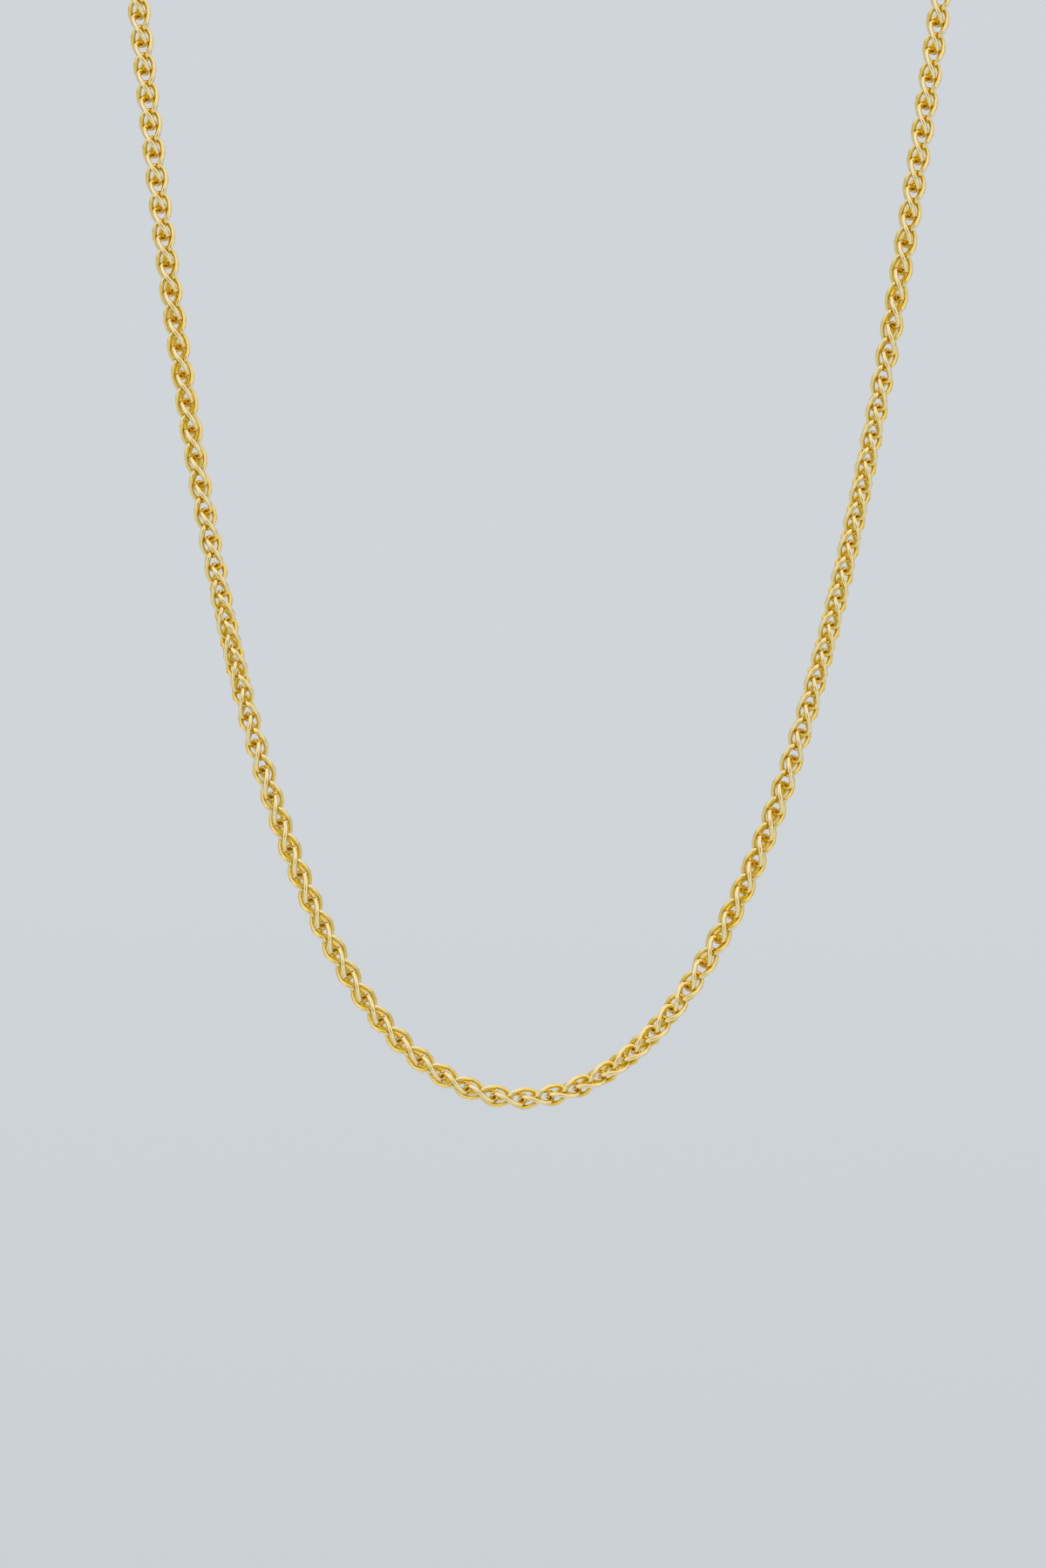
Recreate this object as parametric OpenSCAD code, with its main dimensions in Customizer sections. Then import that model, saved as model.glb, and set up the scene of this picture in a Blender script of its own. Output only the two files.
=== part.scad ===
// A gold wheat chain for the neck, as it hangs when it is worn, with its clasp shut at the nape.
// Millimetres, +Z up. The front faces -Y, and left and right are as seen from the front.
// The origin is where the chain sits on the back of the neck, midway between its two ends.

/* [Chain] */
// Outside diameter of the chain, over its woven links
chain_d = 2.7; // [1.8:0.1:3.6]
// Outside diameter of the round end link that is soldered to each end of the chain
end_d = 3; // [2.6:0.1:4]
// Wire of the end link
end_wire = 0.6; // [0.4:0.05:0.8]

/* [Hang] */
// Radius of the curve at the lowest point of the front
bottom_r = 16; // [12:0.5:24]
// Height of the front, from its lowest point to where the chain turns back over the shoulder
front_h = 136; // [110:1:160]
// Distance from the nape forward to the upright front
neck_depth = 84; // [65:1:100]
// Height of the nape above the top of the front
nape_rise = 40; // [25:1:50]
// How far the chain goes on upward while it turns back
shoulder_reach = 27; // [22:1:36]
// How far the chain goes on sideways from its end while it turns forward
nape_reach = 54; // [44:1:62]

/* [Rings and clasp] */
// Outside diameter of the jump ring at the right-hand end
jump_d = 4; // [3.6:0.1:5]
// Wire of the jump ring
jump_wire = 0.7; // [0.5:0.05:0.9]
// Outside diameter of the larger ring that the clasp shuts on
catch_d = 5; // [4.4:0.1:6.5]
// Wire of the larger ring
catch_wire = 0.8; // [0.5:0.05:1]
// Outside diameter of the round clasp
clasp_d = 7; // [6:0.1:9]
// Thickness of the clasp's hollow body, which covers three quarters of its circle
clasp_wire = 1.4; // [1.1:0.05:1.6]
// Thickness of the bolt that closes the last quarter
bolt_wire = 0.9; // [0.6:0.05:1]
// Height of the knob on the bolt, above the bolt's outer side
knob_h = 0.9; // [0.6:0.1:1.4]
// Outside diameter of the small eye that is soldered to the clasp
eye_d = 3; // [2.8:0.1:4]
// Wire of the small eye
eye_wire = 0.8; // [0.5:0.05:0.9]
// Gap between two rings that hang in each other
ring_gap = 0.15; // [0.1:0.05:0.3]

/* [Hidden] */
$fn = 48;
gold = "#d9a520";

// Rings are measured to the middle of their wire.
end_r = (end_d - end_wire) / 2;
jump_r = (jump_d - jump_wire) / 2;
catch_r = (catch_d - catch_wire) / 2;
clasp_r = (clasp_d - clasp_wire) / 2;
eye_r = (eye_d - eye_wire) / 2;

// Distance between the middles of two rings that hang in each other and are pulled apart.
function linked(r1, wire1, r2, wire2) = r1 + r2 - (wire1 + wire2) / 2 - ring_gap;

// Places along X at the nape, from the left end link at -end_x to the right one at end_x.
end_to_catch = linked(end_r, end_wire, catch_r, catch_wire);
catch_to_clasp = linked(catch_r, catch_wire, clasp_r, clasp_wire);
clasp_to_eye = clasp_r + eye_r;
eye_to_jump = linked(eye_r, eye_wire, jump_r, jump_wire);
jump_to_end = linked(jump_r, jump_wire, end_r, end_wire);
end_x = (end_to_catch + catch_to_clasp + clasp_to_eye + eye_to_jump + jump_to_end) / 2;
catch_x = end_to_catch - end_x;
clasp_x = catch_x + catch_to_clasp;
eye_x = clasp_x + clasp_to_eye;
jump_x = eye_x + eye_to_jump;

// The clasp's body leaves this quarter of its circle open, and the knob stands at its start.
open_from = 60;
open_to = 150;
knob_at = 70;

// The route of the right half. The front hangs in a catenary, measured by its own length s, and
// its sections stand closer together at the bottom, where it curves.
chain_sides = 8;
section_pitch = 2.75 * chain_d;
crowding = 1.2;
bottom_z = -nape_rise - front_h;
front_s = sqrt(pow(front_h + bottom_r, 2) - pow(bottom_r, 2));
front_count = ceil(front_s / section_pitch);
function hang_x(s) = bottom_r * ln(s / bottom_r + sqrt(pow(s / bottom_r, 2) + 1));
function hang_z(s) = sqrt(bottom_r * bottom_r + s * s) - bottom_r;
function front_point(s) = [hang_x(s), -neck_depth, bottom_z + hang_z(s)];
function front_way(s) = [bottom_r, 0, s] / norm([bottom_r, s]);

// From there one smooth curve goes over the shoulder and round the neck to the end link.
back_from = front_point(front_s);
back_to = [end_x + end_r, 0, 0];
back_rise = back_from + shoulder_reach * front_way(front_s);
back_side = back_to + [nape_reach, 0, 0];
back_count = ceil(norm(back_to - back_from) / section_pitch) + 1;
function back_point(t) =
    pow(1 - t, 3) * back_from + 3 * t * pow(1 - t, 2) * back_rise
    + 3 * t * t * (1 - t) * back_side + pow(t, 3) * back_to;
function back_slope(t) =
    pow(1 - t, 2) * (back_rise - back_from) + 2 * t * (1 - t) * (back_side - back_rise)
    + t * t * (back_to - back_side);
function back_way(t) = back_slope(t) / norm(back_slope(t));

// Each stop on the route is a point and the way the chain goes there.
front_stops = [for (i = [0 : front_count - 1])
    let (s = front_s * pow(i / front_count, crowding)) [front_point(s), front_way(s)]];
back_stops = [for (i = [0 : back_count])
    let (t = i / back_count) [back_point(t), back_way(t)]];
route = concat(front_stops, back_stops);

// One corner of each section points away from the middle of the front.
front_middle = [0, -neck_depth, bottom_z + front_h / 2];
function outward(point, way) =
    let (away = point - front_middle, flat = away - (away * way) * way) flat / norm(flat);
function section(point, way) =
    let (out = outward(point, way), across = cross(way, out))
    [for (k = [0 : chain_sides - 1])
        let (turn = 360 * k / chain_sides)
        point + chain_d / 2 * (cos(turn) * out + sin(turn) * across)];

// A closed skin over the sections, one after the other.
module sweep(stops) {
    last = len(stops) - 1;
    points = [for (stop = stops) each section(stop[0], stop[1])];
    sides = [for (i = [0 : last - 1], k = [0 : chain_sides - 1])
        let (a = i * chain_sides, n = (k + 1) % chain_sides)
        [a + k, a + k + chain_sides, a + n + chain_sides, a + n]];
    start = [for (k = [0 : chain_sides - 1]) k];
    end = [for (k = [0 : chain_sides - 1]) len(points) - 1 - k];
    polyhedron(points = points, faces = concat([start, end], sides));
}

// Part of a ring round the Y axis, from one angle to the other. 0 degrees is +X, and 90 is +Z.
module arc(r, wire, from = 0, to = 360) {
    rotate([90, -from, 0])
        rotate_extrude(angle = to - from)
            translate([r, 0])
                circle(d = wire);
}

// Half of the chain, from the lowest point to its end link. The links are woven so closely that
// their outside is a round rope, and its last link is soldered to a round end link.
module half_chain() {
    color(gold) {
        sweep(route);
        translate([end_x, 0, 0])
            arc(end_r, end_wire);
    }
}

module chain_right() {
    half_chain();
}

module chain_left() {
    mirror([1, 0, 0])
        half_chain();
}

// The two rings lie flat, across the upright end links and the clasp.
module jump_ring() {
    color(gold)
        translate([jump_x, 0, 0])
            rotate([90, 0, 0])
                arc(jump_r, jump_wire);
}

module catch_ring() {
    color(gold)
        translate([catch_x, 0, 0])
            rotate([90, 0, 0])
                arc(catch_r, catch_wire);
}

// A shut spring ring in one piece: its body, the bolt that closes it, the bolt's knob and the eye.
module clasp() {
    color(gold) {
        translate([clasp_x, 0, 0]) {
            arc(clasp_r, bolt_wire);
            arc(clasp_r, clasp_wire, open_to, open_from + 360);
            rotate([0, 90 - knob_at, 0])
                translate([0, 0, clasp_r])
                    cylinder(h = bolt_wire / 2 + knob_h, d = bolt_wire);
        }
        translate([eye_x, 0, 0])
            arc(eye_r, eye_wire);
    }
}

chain_left();
chain_right();
catch_ring();
clasp();
jump_ring();
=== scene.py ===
# A gold wheat chain for the neck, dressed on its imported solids. The woven wire links take the place
# of the two swept tubes, and the rings and the clasp get their finish. Metres, +Z up, front to -Y.
import math

import bmesh
import bpy
from mathutils import Matrix, Vector


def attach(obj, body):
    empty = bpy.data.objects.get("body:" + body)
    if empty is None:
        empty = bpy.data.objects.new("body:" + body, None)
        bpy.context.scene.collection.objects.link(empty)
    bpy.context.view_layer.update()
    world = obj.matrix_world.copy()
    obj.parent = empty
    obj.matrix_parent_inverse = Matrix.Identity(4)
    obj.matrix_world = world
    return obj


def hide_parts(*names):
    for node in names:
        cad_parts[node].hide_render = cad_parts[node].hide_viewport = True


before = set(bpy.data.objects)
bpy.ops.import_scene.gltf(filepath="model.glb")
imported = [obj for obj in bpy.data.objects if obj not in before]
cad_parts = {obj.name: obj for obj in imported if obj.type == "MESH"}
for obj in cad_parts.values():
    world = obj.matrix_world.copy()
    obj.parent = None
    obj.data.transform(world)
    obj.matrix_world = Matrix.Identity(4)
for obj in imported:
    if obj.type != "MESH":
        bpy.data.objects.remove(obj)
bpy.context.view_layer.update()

MM = 0.001

# The route, with the named sizes of the part's source, in millimetres.
BOTTOM_R = 16
FRONT_H = 136
NECK_DEPTH = 84
NAPE_RISE = 40
SHOULDER_REACH = 27
NAPE_REACH = 54
END_X = 6.95
END_R = 1.2
END_WIRE = 0.6
# The last link's middle lies this far from the end of the route, where it grips the end ring.
LAST_LINK = 1.3
BOTTOM_Z = -NAPE_RISE - FRONT_H
FRONT_S = math.sqrt((FRONT_H + BOTTOM_R) ** 2 - BOTTOM_R ** 2)
FRONT_STEP = 0.5
BACK_STEPS = 400

# One woven link: an oval of round wire, twisted about the chain's own axis.
LINK_WIDTH = 2.18
LINK_LENGTH = 3.8
LINK_WIRE = 0.58
# Every second link is twisted to the right, and the ones between a little more, to the left.
LINK_TWISTS = [math.radians(100), math.radians(-130)]
# How full the oval is: 2 is an ellipse.
LINK_FULLNESS = 2.25
LINK_PITCH = 1.5945
LINK_STEPS = 16
WIRE_SIDES = 6
END_STEPS = 32
END_WIRE_SIDES = 12
# Length of the wire in one link, once round its middle, as a mean of both kinds.
LINK_REACH = 10.6

# How the chain is rolled about its own axis along its way, from the photograph: millimetres
# from its lowest point, counted to the right, and degrees. The outermost values go on to the nape,
# where they let the last links grip their end rings.
ROLLS = [(-119, 19), (-101, 1), (-89, -8), (-74, -29), (-64, -48), (-58, -63), (-52, -75),
         (-43, -90), (-30, -98), (-14, -93), (-3, -81), (8, -62), (13, -48), (18, -40),
         (24, -30), (27, -18), (32, -7), (38, 4), (49, 11), (55, 21), (61, 30), (65, 35),
         (87, 35), (94, 28), (101, 15), (109, -4), (117, -15), (124, -20)]
# A link with a right twist has its middle this far to the right of the lowest point. The links of
# each half are counted from here, the first few of them back over the lowest point.
FIRST_LINK = 5.18
LINKS_BACK = 8
LINKS_AHEAD = 100
# The links lie evenly along the front, and from here on back they are eased to reach the end ring.
EVEN_TO = 150


def front_point(s):
    side = BOTTOM_R * math.asinh(s / BOTTOM_R)
    return Vector((side, -NECK_DEPTH, BOTTOM_Z + math.hypot(BOTTOM_R, s) - BOTTOM_R))


def front_way(s):
    return Vector((BOTTOM_R, 0, s)).normalized()


BACK_FROM = front_point(FRONT_S)
BACK_TO = Vector((END_X + END_R, 0, 0))
BACK_RISE = BACK_FROM + SHOULDER_REACH * front_way(FRONT_S)
BACK_SIDE = BACK_TO + Vector((NAPE_REACH, 0, 0))


def back_point(t):
    u = 1 - t
    return u ** 3 * BACK_FROM + 3 * t * u * u * BACK_RISE + 3 * t * t * u * BACK_SIDE + t ** 3 * BACK_TO


def half_route():
    """Stops on the right half: length from the lowest point, point, way, and what faces the front."""
    count = math.ceil(FRONT_S / FRONT_STEP)
    points = [front_point(FRONT_S * i / count) for i in range(count)]
    points += [back_point(i / BACK_STEPS) for i in range(BACK_STEPS + 1)]
    stops = []
    length = 0
    facing = Vector((0, -1, 0))
    way = Vector((1, 0, 0))
    for i, point in enumerate(points):
        ahead = points[min(i + 1, len(points) - 1)] - points[max(i - 1, 0)]
        new_way = ahead.normalized() if i else way
        facing = way.rotation_difference(new_way) @ facing
        way = new_way
        if i:
            length += (point - points[i - 1]).length
        stops.append((length, point, way, facing.copy()))
    return stops


STOPS = half_route()
HALF_LENGTH = STOPS[-1][0]
FLIP = Vector((-1, 1, 1))


def stop_at(s):
    """The point, way and facing at a length, below 0 on the left half."""
    away = min(abs(s), HALF_LENGTH)
    low = 0
    high = len(STOPS) - 1
    while high - low > 1:
        middle = (low + high) // 2
        if STOPS[middle][0] <= away:
            low = middle
        else:
            high = middle
    share = (away - STOPS[low][0]) / (STOPS[high][0] - STOPS[low][0])
    point, way, facing = (STOPS[low][k].lerp(STOPS[high][k], share) for k in (1, 2, 3))
    if s < 0:
        point, way, facing = point * FLIP, -way * FLIP, facing * FLIP
    return point, way.normalized(), facing.normalized()


def roll_at(s):
    before = ROLLS[0]
    for after in ROLLS:
        if after[0] >= s:
            span = after[0] - before[0]
            share = (s - before[0]) / span if span else 0
            return math.radians(before[1] + share * (after[1] - before[1]))
        before = after
    return math.radians(before[1])


def place_at(s, turn):
    """The matrix that puts a link made about +Z on the route, turned about its way."""
    point, way, facing = stop_at(s)
    inward = facing.cross(way)
    turned = Matrix((inward, facing, way)).transposed().to_4x4()
    return Matrix.Translation(point) @ turned @ Matrix.Rotation(turn, 4, "Z")


def link_middle(angle, twist):
    """The wire's middle on a twisted oval."""
    full = 2 / LINK_FULLNESS
    across = LINK_WIDTH / 2 * math.copysign(abs(math.cos(angle)) ** full, math.cos(angle))
    reach = math.copysign(abs(math.sin(angle)) ** full, math.sin(angle))
    turn = twist / 2 * reach
    return Vector((across * math.cos(turn), across * math.sin(turn), LINK_LENGTH / 2 * reach))


def link_mesh(name, twist):
    """A ring of wire is spun, and each of its sections is then put on the twisted oval."""
    shape = bmesh.new()
    ring = LINK_WIDTH
    start = Matrix.Translation((ring, 0, 0)) @ Matrix.Rotation(math.pi / 2, 4, "X")
    bmesh.ops.create_circle(shape, segments=WIRE_SIDES, radius=LINK_WIRE / 2, matrix=start)
    bmesh.ops.spin(shape, geom=shape.verts[:] + shape.edges[:], cent=(0, 0, 0), axis=(0, 0, 1),
                   angle=2 * math.pi, steps=LINK_STEPS, use_merge=True)
    strand = shape.loops.layers.uv.new("wire")
    for face in shape.faces:
        along = [math.atan2(loop.vert.co.y, loop.vert.co.x) / (2 * math.pi) for loop in face.loops]
        around = [math.atan2(loop.vert.co.z, math.hypot(loop.vert.co.x, loop.vert.co.y) - ring)
                  / (2 * math.pi) for loop in face.loops]
        for loop, u, v in zip(face.loops, along, around):
            loop[strand].uv = (u + (max(along) - u > 0.5), v + (max(around) - v > 0.5))
    nearby = 0.01
    for vert in shape.verts:
        angle = math.atan2(vert.co.y, vert.co.x)
        middle = link_middle(angle, twist)
        way = (link_middle(angle + nearby, twist) - link_middle(angle - nearby, twist)).normalized()
        outer = (middle - way * middle.dot(way)).normalized()
        side = math.hypot(vert.co.x, vert.co.y) - ring
        vert.co = middle + outer * side + way.cross(outer) * -vert.co.z
    bmesh.ops.recalc_face_normals(shape, faces=shape.faces)
    mesh = bpy.data.meshes.new(name)
    shape.to_mesh(mesh)
    shape.free()
    return mesh


LINKS = [link_mesh("link_right_twist", LINK_TWISTS[0]), link_mesh("link_left_twist", LINK_TWISTS[1])]


def end_ring(shape, side):
    """The round link at the end of a half, which the part's source has as a torus."""
    place = Matrix.Translation((side * END_X, 0, 0)) @ Matrix.Rotation(math.pi / 2, 4, "X")
    start = place @ Matrix.Translation((END_R, 0, 0)) @ Matrix.Rotation(math.pi / 2, 4, "X")
    made = bmesh.ops.create_circle(shape, segments=END_WIRE_SIDES, radius=END_WIRE / 2,
                                    matrix=start)
    verts = made["verts"]
    edges = list({edge for vert in verts for edge in vert.link_edges})
    bmesh.ops.spin(shape, geom=verts + edges, cent=place.translation, axis=(0, 1, 0),
                   angle=2 * math.pi, steps=END_STEPS, use_merge=True)


def finished(name, shape):
    """Turns millimetres into metres, and makes the piece."""
    bmesh.ops.recalc_face_normals(shape, faces=shape.faces)
    bmesh.ops.scale(shape, vec=(MM, MM, MM), verts=shape.verts)
    mesh = bpy.data.meshes.new(name)
    shape.to_mesh(mesh)
    shape.free()
    for face in mesh.polygons:
        face.use_smooth = True
    piece = bpy.data.objects.new(name, mesh)
    bpy.context.scene.collection.objects.link(piece)
    return piece


def link_stops(side):
    """Where the middles of the links of one half lie, as lengths from the lowest point."""
    stops = [FIRST_LINK + side * i * LINK_PITCH for i in range(-LINKS_BACK, LINKS_AHEAD)]
    stops = [s for s in stops if abs(s) < EVEN_TO]
    rest = HALF_LENGTH - LAST_LINK - abs(stops[-1])
    count = round(rest / LINK_PITCH)
    return stops + [stops[-1] + side * rest * i / count for i in range(1, count + 1)]


def woven(name, side):
    """The links of one half, from the lowest point to its end ring."""
    shape = bmesh.new()
    for i, s in enumerate(link_stops(side), start=-LINKS_BACK):
        if s * side < 0:
            continue
        odd = i % 2
        link = LINKS[odd].copy()
        link.transform(place_at(s, roll_at(s) + (math.pi / 2 if odd else 0)))
        shape.from_mesh(link)
        bpy.data.meshes.remove(link)
    end_ring(shape, side)
    return finished(name, shape)


def linear(hex_colour):
    """An sRGB hex colour as linear red, green and blue."""
    parts = [int(hex_colour[i:i + 2], 16) / 255 for i in (1, 3, 5)]
    return [p / 12.92 if p <= 0.04045 else ((p + 0.055) / 1.055) ** 2.4 for p in parts] + [1]


def add(tree, kind, settings=None, **inputs):
    """Adds a node, with its settings, and gives each named input a value or a link."""
    node = tree.nodes.new(kind)
    for key, value in (settings or {}).items():
        setattr(node, key, value)
    for key, value in inputs.items():
        socket = node.inputs[key.replace("_", " ")]
        if isinstance(value, bpy.types.NodeSocket):
            tree.links.new(value, socket)
        else:
            socket.default_value = value
    return node


# Yellow gold of 14 carats, alloyed with silver and copper: a polished surface shows pale studio light
# as a creamy lemon gold, and light that goes from wire to wire comes out amber. The deeper amber gold
# below is painted shade: it is painted on the hidden side of each wire to stand in for that amber light
# and the shade between the wires.
GOLD = "#F0DEAE"
PAINTED_SHADE_GOLD = "#E8C457"


def gold(name):
    material = bpy.data.materials.new(name)
    material.use_nodes = True
    tree = material.node_tree
    shader = tree.nodes["Principled BSDF"]
    shader.inputs["Metallic"].default_value = 1
    return material, tree, shader


def drawn_wire():
    """Gold wire, drawn through a die, which leaves fine lines along it. The finished chain was
    polished in a tumbler, which smooths the outer side of each link more than its hidden side."""
    material, tree, shader = gold("polished_gold_wire")
    strand = add(tree, "ShaderNodeUVMap", {"uv_map": "wire"})
    # Turns along and round the wire become millimetres.
    length = add(tree, "ShaderNodeMapping", Vector=strand.outputs["UV"],
                 Scale=(LINK_REACH, LINK_WIRE * math.pi, 1))
    # The die's lines are a few hundredths of a millimetre apart. They are drawn 0.1 mm apart, so
    # that they show.
    streak = add(tree, "ShaderNodeMapping", Vector=length.outputs["Vector"], Scale=(0.5, 10, 1))
    lines = add(tree, "ShaderNodeTexNoise", Vector=streak.outputs["Vector"], Scale=1, Detail=2)
    place = add(tree, "ShaderNodeTexCoord")
    # Marks of the tumbling, about 0.3 mm across.
    marks = add(tree, "ShaderNodeTexNoise", Vector=place.outputs["Object"], Scale=3300, Detail=2)
    height = add(tree, "ShaderNodeMath", {"operation": "MULTIPLY_ADD"})
    tree.links.new(marks.outputs["Fac"], height.inputs[0])
    height.inputs[1].default_value = 0.7
    tree.links.new(lines.outputs["Fac"], height.inputs[2])
    relief = add(tree, "ShaderNodeBump", Height=height.outputs["Value"], Strength=0.5,
                 Distance=0.008 * MM)
    tree.links.new(relief.outputs["Normal"], shader.inputs["Normal"])
    # Half a turn round the wire is its hidden side.
    turns = add(tree, "ShaderNodeSeparateXYZ", Vector=strand.outputs["UV"])
    whole = add(tree, "ShaderNodeMath", {"operation": "MULTIPLY"})
    tree.links.new(turns.outputs["Y"], whole.inputs[0])
    whole.inputs[1].default_value = 2 * math.pi
    outer = add(tree, "ShaderNodeMath", {"operation": "COSINE"})
    tree.links.new(whole.outputs["Value"], outer.inputs[0])
    dull = add(tree, "ShaderNodeMapRange", Value=outer.outputs["Value"], From_Min=-1, From_Max=0.6,
               To_Min=0.24, To_Max=0.12)
    worn = add(tree, "ShaderNodeMapRange", Value=marks.outputs["Fac"], From_Min=0.3, From_Max=0.7,
               To_Min=0.85, To_Max=1.25)
    rough = add(tree, "ShaderNodeMath", {"operation": "MULTIPLY"})
    tree.links.new(dull.outputs["Result"], rough.inputs[0])
    tree.links.new(worn.outputs["Result"], rough.inputs[1])
    tree.links.new(rough.outputs["Value"], shader.inputs["Roughness"])
    # The hidden side is painted a deeper amber gold: painted shade for the inside of each link, where
    # wires face each other and light passes from wire to wire.
    hidden = add(tree, "ShaderNodeMapRange", Value=outer.outputs["Value"], From_Min=0.92, From_Max=-0.15,
                 To_Min=0, To_Max=1)
    painted_shade_mix = add(tree, "ShaderNodeMix", {"data_type": "RGBA"}, Factor=hidden.outputs["Result"])
    painted_shade_mix.inputs["A"].default_value = linear(GOLD)
    painted_shade_mix.inputs["B"].default_value = linear(PAINTED_SHADE_GOLD)
    tree.links.new(painted_shade_mix.outputs["Result"], shader.inputs["Base Color"])
    return material


def polished_gold():
    """Soldered and machine-polished gold of the rings and the clasp: a mirror with the shallow
    waves of the polishing wheel, about 1.5 mm long, and a few fine marks of wear."""
    material, tree, shader = gold("polished_gold")
    shader.inputs["Base Color"].default_value = linear(GOLD)
    place = add(tree, "ShaderNodeTexCoord")
    waves = add(tree, "ShaderNodeTexNoise", Vector=place.outputs["Object"], Scale=700, Detail=1)
    marks = add(tree, "ShaderNodeTexNoise", Vector=place.outputs["Object"], Scale=6000, Detail=3)
    height = add(tree, "ShaderNodeMath", {"operation": "MULTIPLY_ADD"})
    tree.links.new(marks.outputs["Fac"], height.inputs[0])
    height.inputs[1].default_value = 0.15
    tree.links.new(waves.outputs["Fac"], height.inputs[2])
    relief = add(tree, "ShaderNodeBump", Height=height.outputs["Value"], Strength=0.4,
                 Distance=0.02 * MM)
    tree.links.new(relief.outputs["Normal"], shader.inputs["Normal"])
    worn = add(tree, "ShaderNodeMapRange", Value=marks.outputs["Fac"], From_Min=0.3, From_Max=0.7,
               To_Min=0.07, To_Max=0.15)
    tree.links.new(worn.outputs["Result"], shader.inputs["Roughness"])
    return material


def paper():
    """Pale matt background paper, with a faint cloudiness 60 mm across and a fine felt of fibres."""
    material = bpy.data.materials.new("matt_background_paper")
    material.use_nodes = True
    tree = material.node_tree
    shader = tree.nodes["Principled BSDF"]
    shader.inputs["Roughness"].default_value = 0.8
    place = add(tree, "ShaderNodeTexCoord")
    clouds = add(tree, "ShaderNodeTexNoise", Vector=place.outputs["Object"], Scale=17, Detail=2)
    tint = add(tree, "ShaderNodeMix", {"data_type": "RGBA"}, Factor=clouds.outputs["Fac"])
    tint.inputs["A"].default_value = linear("#DADFE3")
    tint.inputs["B"].default_value = linear("#E0E5E8")
    tree.links.new(tint.outputs["Result"], shader.inputs["Base Color"])
    felt = add(tree, "ShaderNodeTexNoise", Vector=place.outputs["Object"], Scale=1500, Detail=2)
    relief = add(tree, "ShaderNodeBump", Height=felt.outputs["Fac"], Strength=0.3, Distance=0.05 * MM)
    tree.links.new(relief.outputs["Normal"], shader.inputs["Normal"])
    return material


WIRE_GOLD = drawn_wire()
CLASP_GOLD = polished_gold()

for name, side in (("chain_left", -1), ("chain_right", 1)):
    piece = woven("links_" + name[6:], side)
    piece.data.materials.append(WIRE_GOLD)
    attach(piece, "root")
    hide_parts(name)

for name in ("catch_ring", "clasp", "jump_ring"):
    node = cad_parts[name]
    for slot in node.material_slots:
        slot.material = CLASP_GOLD

# The floor lies well below the chain, which hangs as it is worn.
FLOOR_Z = -0.35
FLOOR_R = 1.1
floor_shape = bmesh.new()
bmesh.ops.create_circle(floor_shape, cap_ends=True, segments=96, radius=FLOOR_R,
                        matrix=Matrix.Translation((0, 0, FLOOR_Z)))
floor_mesh = bpy.data.meshes.new("floor")
floor_shape.to_mesh(floor_mesh)
floor_shape.free()
floor = bpy.data.objects.new("floor", floor_mesh)
bpy.context.scene.collection.objects.link(floor)
floor_mesh.materials.append(paper())

# A pale tent all round, brightest behind the chain and beside the camera, and darker at the sides
# and in the room behind the camera, which gives the round wires their shading.
# Each stop is a share of the way from straight behind the camera, 0, to straight ahead of it, 1.
TENT = [(0.0, "#C4C8CA", 0.54), (0.012, "#C4C8CA", 0.64), (0.045, "#F4F6F8", 0.93),
        (0.20, "#F4F6F8", 0.88), (0.42, "#F4F6F8", 0.63), (0.70, "#F4F6F8", 0.73),
        (0.86, "#F4F6F8", 0.86), (0.94, "#F4F6F8", 1.0), (0.985, "#D6DBDF", 1.0)]
world = bpy.data.worlds.new("pale_studio")
world.use_nodes = True
bpy.context.scene.world = world
sky = world.node_tree
place = add(sky, "ShaderNodeTexCoord")
parts = add(sky, "ShaderNodeSeparateXYZ", Vector=place.outputs["Generated"])
share = add(sky, "ShaderNodeMapRange", Value=parts.outputs["Y"], From_Min=-1, From_Max=1)
ramp = add(sky, "ShaderNodeValToRGB", Fac=share.outputs["Result"])
while len(ramp.color_ramp.elements) < len(TENT):
    ramp.color_ramp.elements.new(0.5)
for stop, (where, colour, strength) in zip(ramp.color_ramp.elements, TENT):
    stop.position = where
    stop.color = [part * strength for part in linear(colour)[:3]] + [1]
sky.links.new(ramp.outputs["Color"], sky.nodes["Background"].inputs["Color"])
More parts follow.
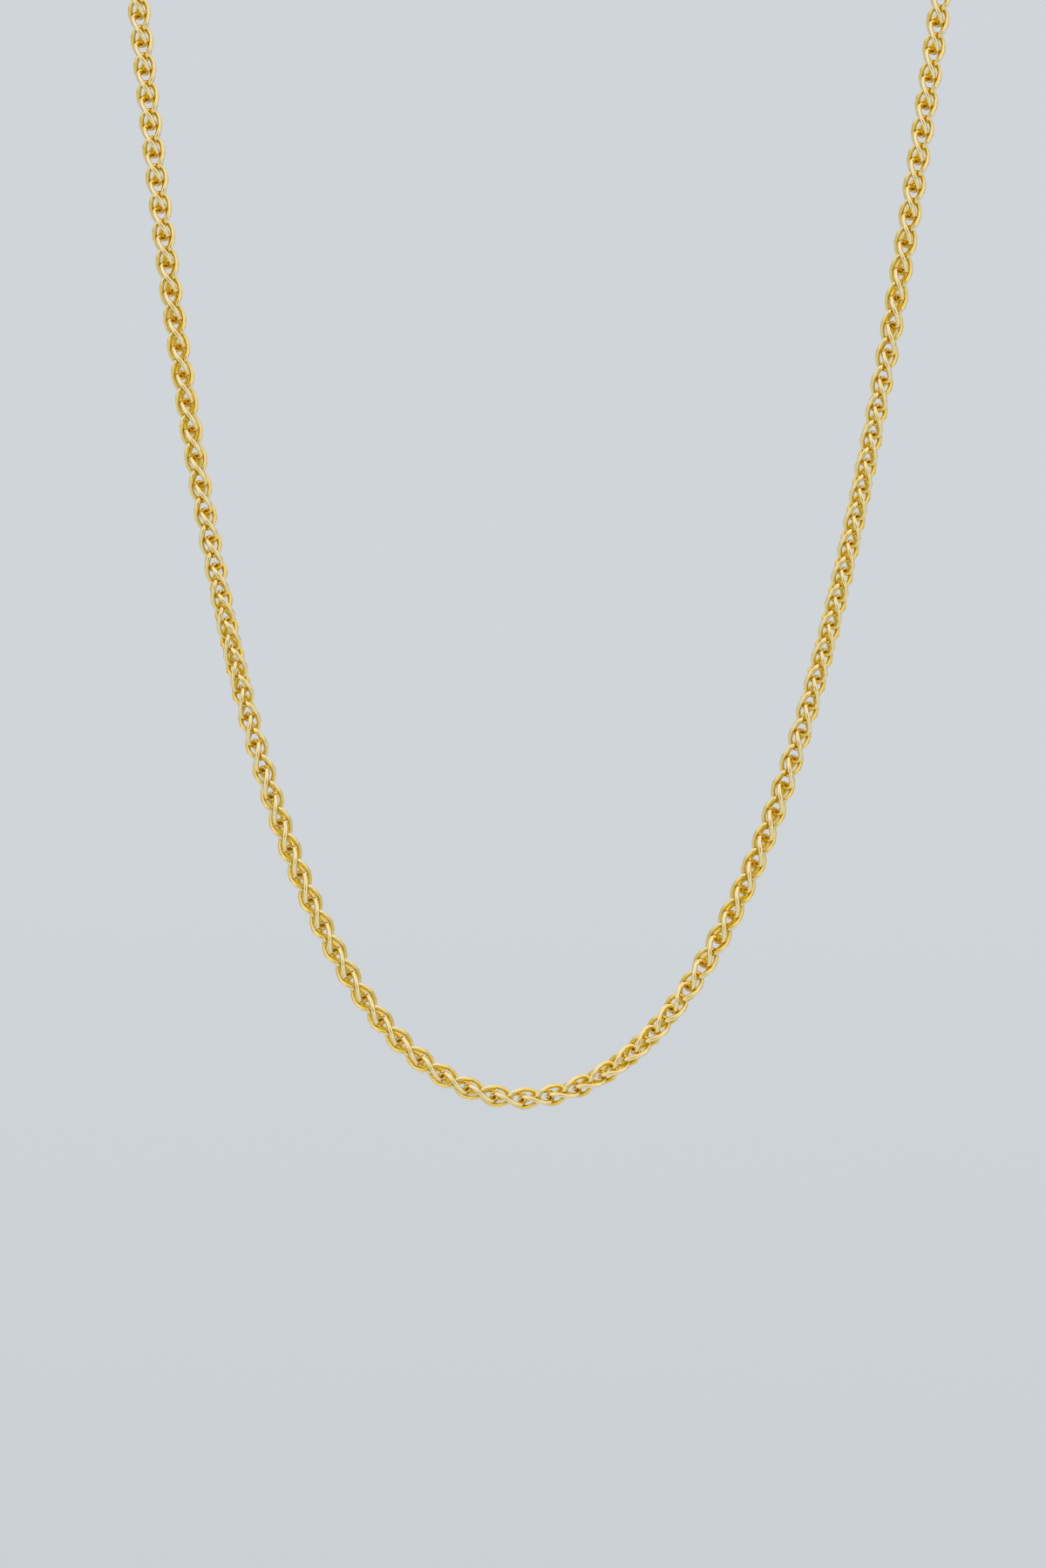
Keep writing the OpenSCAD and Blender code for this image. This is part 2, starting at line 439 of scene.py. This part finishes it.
# The tent is brighter overhead, and darkens a little towards the floor.
lower = add(sky, "ShaderNodeMapRange", Value=parts.outputs["Z"], From_Min=-0.1, From_Max=0,
            To_Min=0.94, To_Max=1)
upper = add(sky, "ShaderNodeMapRange", Value=parts.outputs["Z"], From_Min=0.15, From_Max=0.8,
            To_Min=1, To_Max=1.6)
height = add(sky, "ShaderNodeMath", {"operation": "MULTIPLY"})
sky.links.new(lower.outputs["Result"], height.inputs[0])
sky.links.new(upper.outputs["Result"], height.inputs[1])
sky.links.new(height.outputs["Value"], sky.nodes["Background"].inputs["Strength"])


FRONT_MIDDLE = Vector((0, -0.084, -0.12))


def softbox(name, place, size, power):
    """A rectangular light that faces the middle of the front."""
    light = bpy.data.lights.new(name, "AREA")
    light.shape = "RECTANGLE"
    light.size, light.size_y = size
    light.energy = power
    holder = bpy.data.objects.new(name, light)
    facing = (FRONT_MIDDLE - Vector(place)).to_track_quat("-Z", "Y").to_matrix().to_4x4()
    holder.matrix_world = Matrix.Translation(place) @ facing
    bpy.context.scene.collection.objects.link(holder)


softbox("softbox_left", (-1.0, -0.75, 0.1), (0.7, 1.2), 1.5)
softbox("softbox_right", (1.0, -0.75, 0.1), (0.7, 1.2), 1.5)
softbox("softbox_top", (0, -0.5, 1.0), (1.2, 0.7), 2)

# The camera stands almost a metre in front and frames 120 x 179.9 mm there, as the photograph does.
# It leans as much as the photograph's curve does.
CAMERA_SIDE = -0.18 * MM
CAMERA_AWAY = 0.998
CAMERA_Z = -0.140
CAMERA_LEAN = math.radians(1.025)
camera_data = bpy.data.cameras.new("camera")
camera_data.sensor_fit = "VERTICAL"
camera_data.sensor_height = 36
camera_data.lens = 200
camera = bpy.data.objects.new("camera", camera_data)
lean = Matrix.Rotation(CAMERA_LEAN, 4, "Z")
place = Matrix.Translation((CAMERA_SIDE, -NECK_DEPTH * MM - CAMERA_AWAY, CAMERA_Z))
camera.matrix_world = place @ Matrix.Rotation(math.pi / 2, 4, "X") @ lean
bpy.context.scene.collection.objects.link(camera)
bpy.context.scene.camera = camera
bpy.context.scene.view_settings.view_transform = "Khronos PBR Neutral"
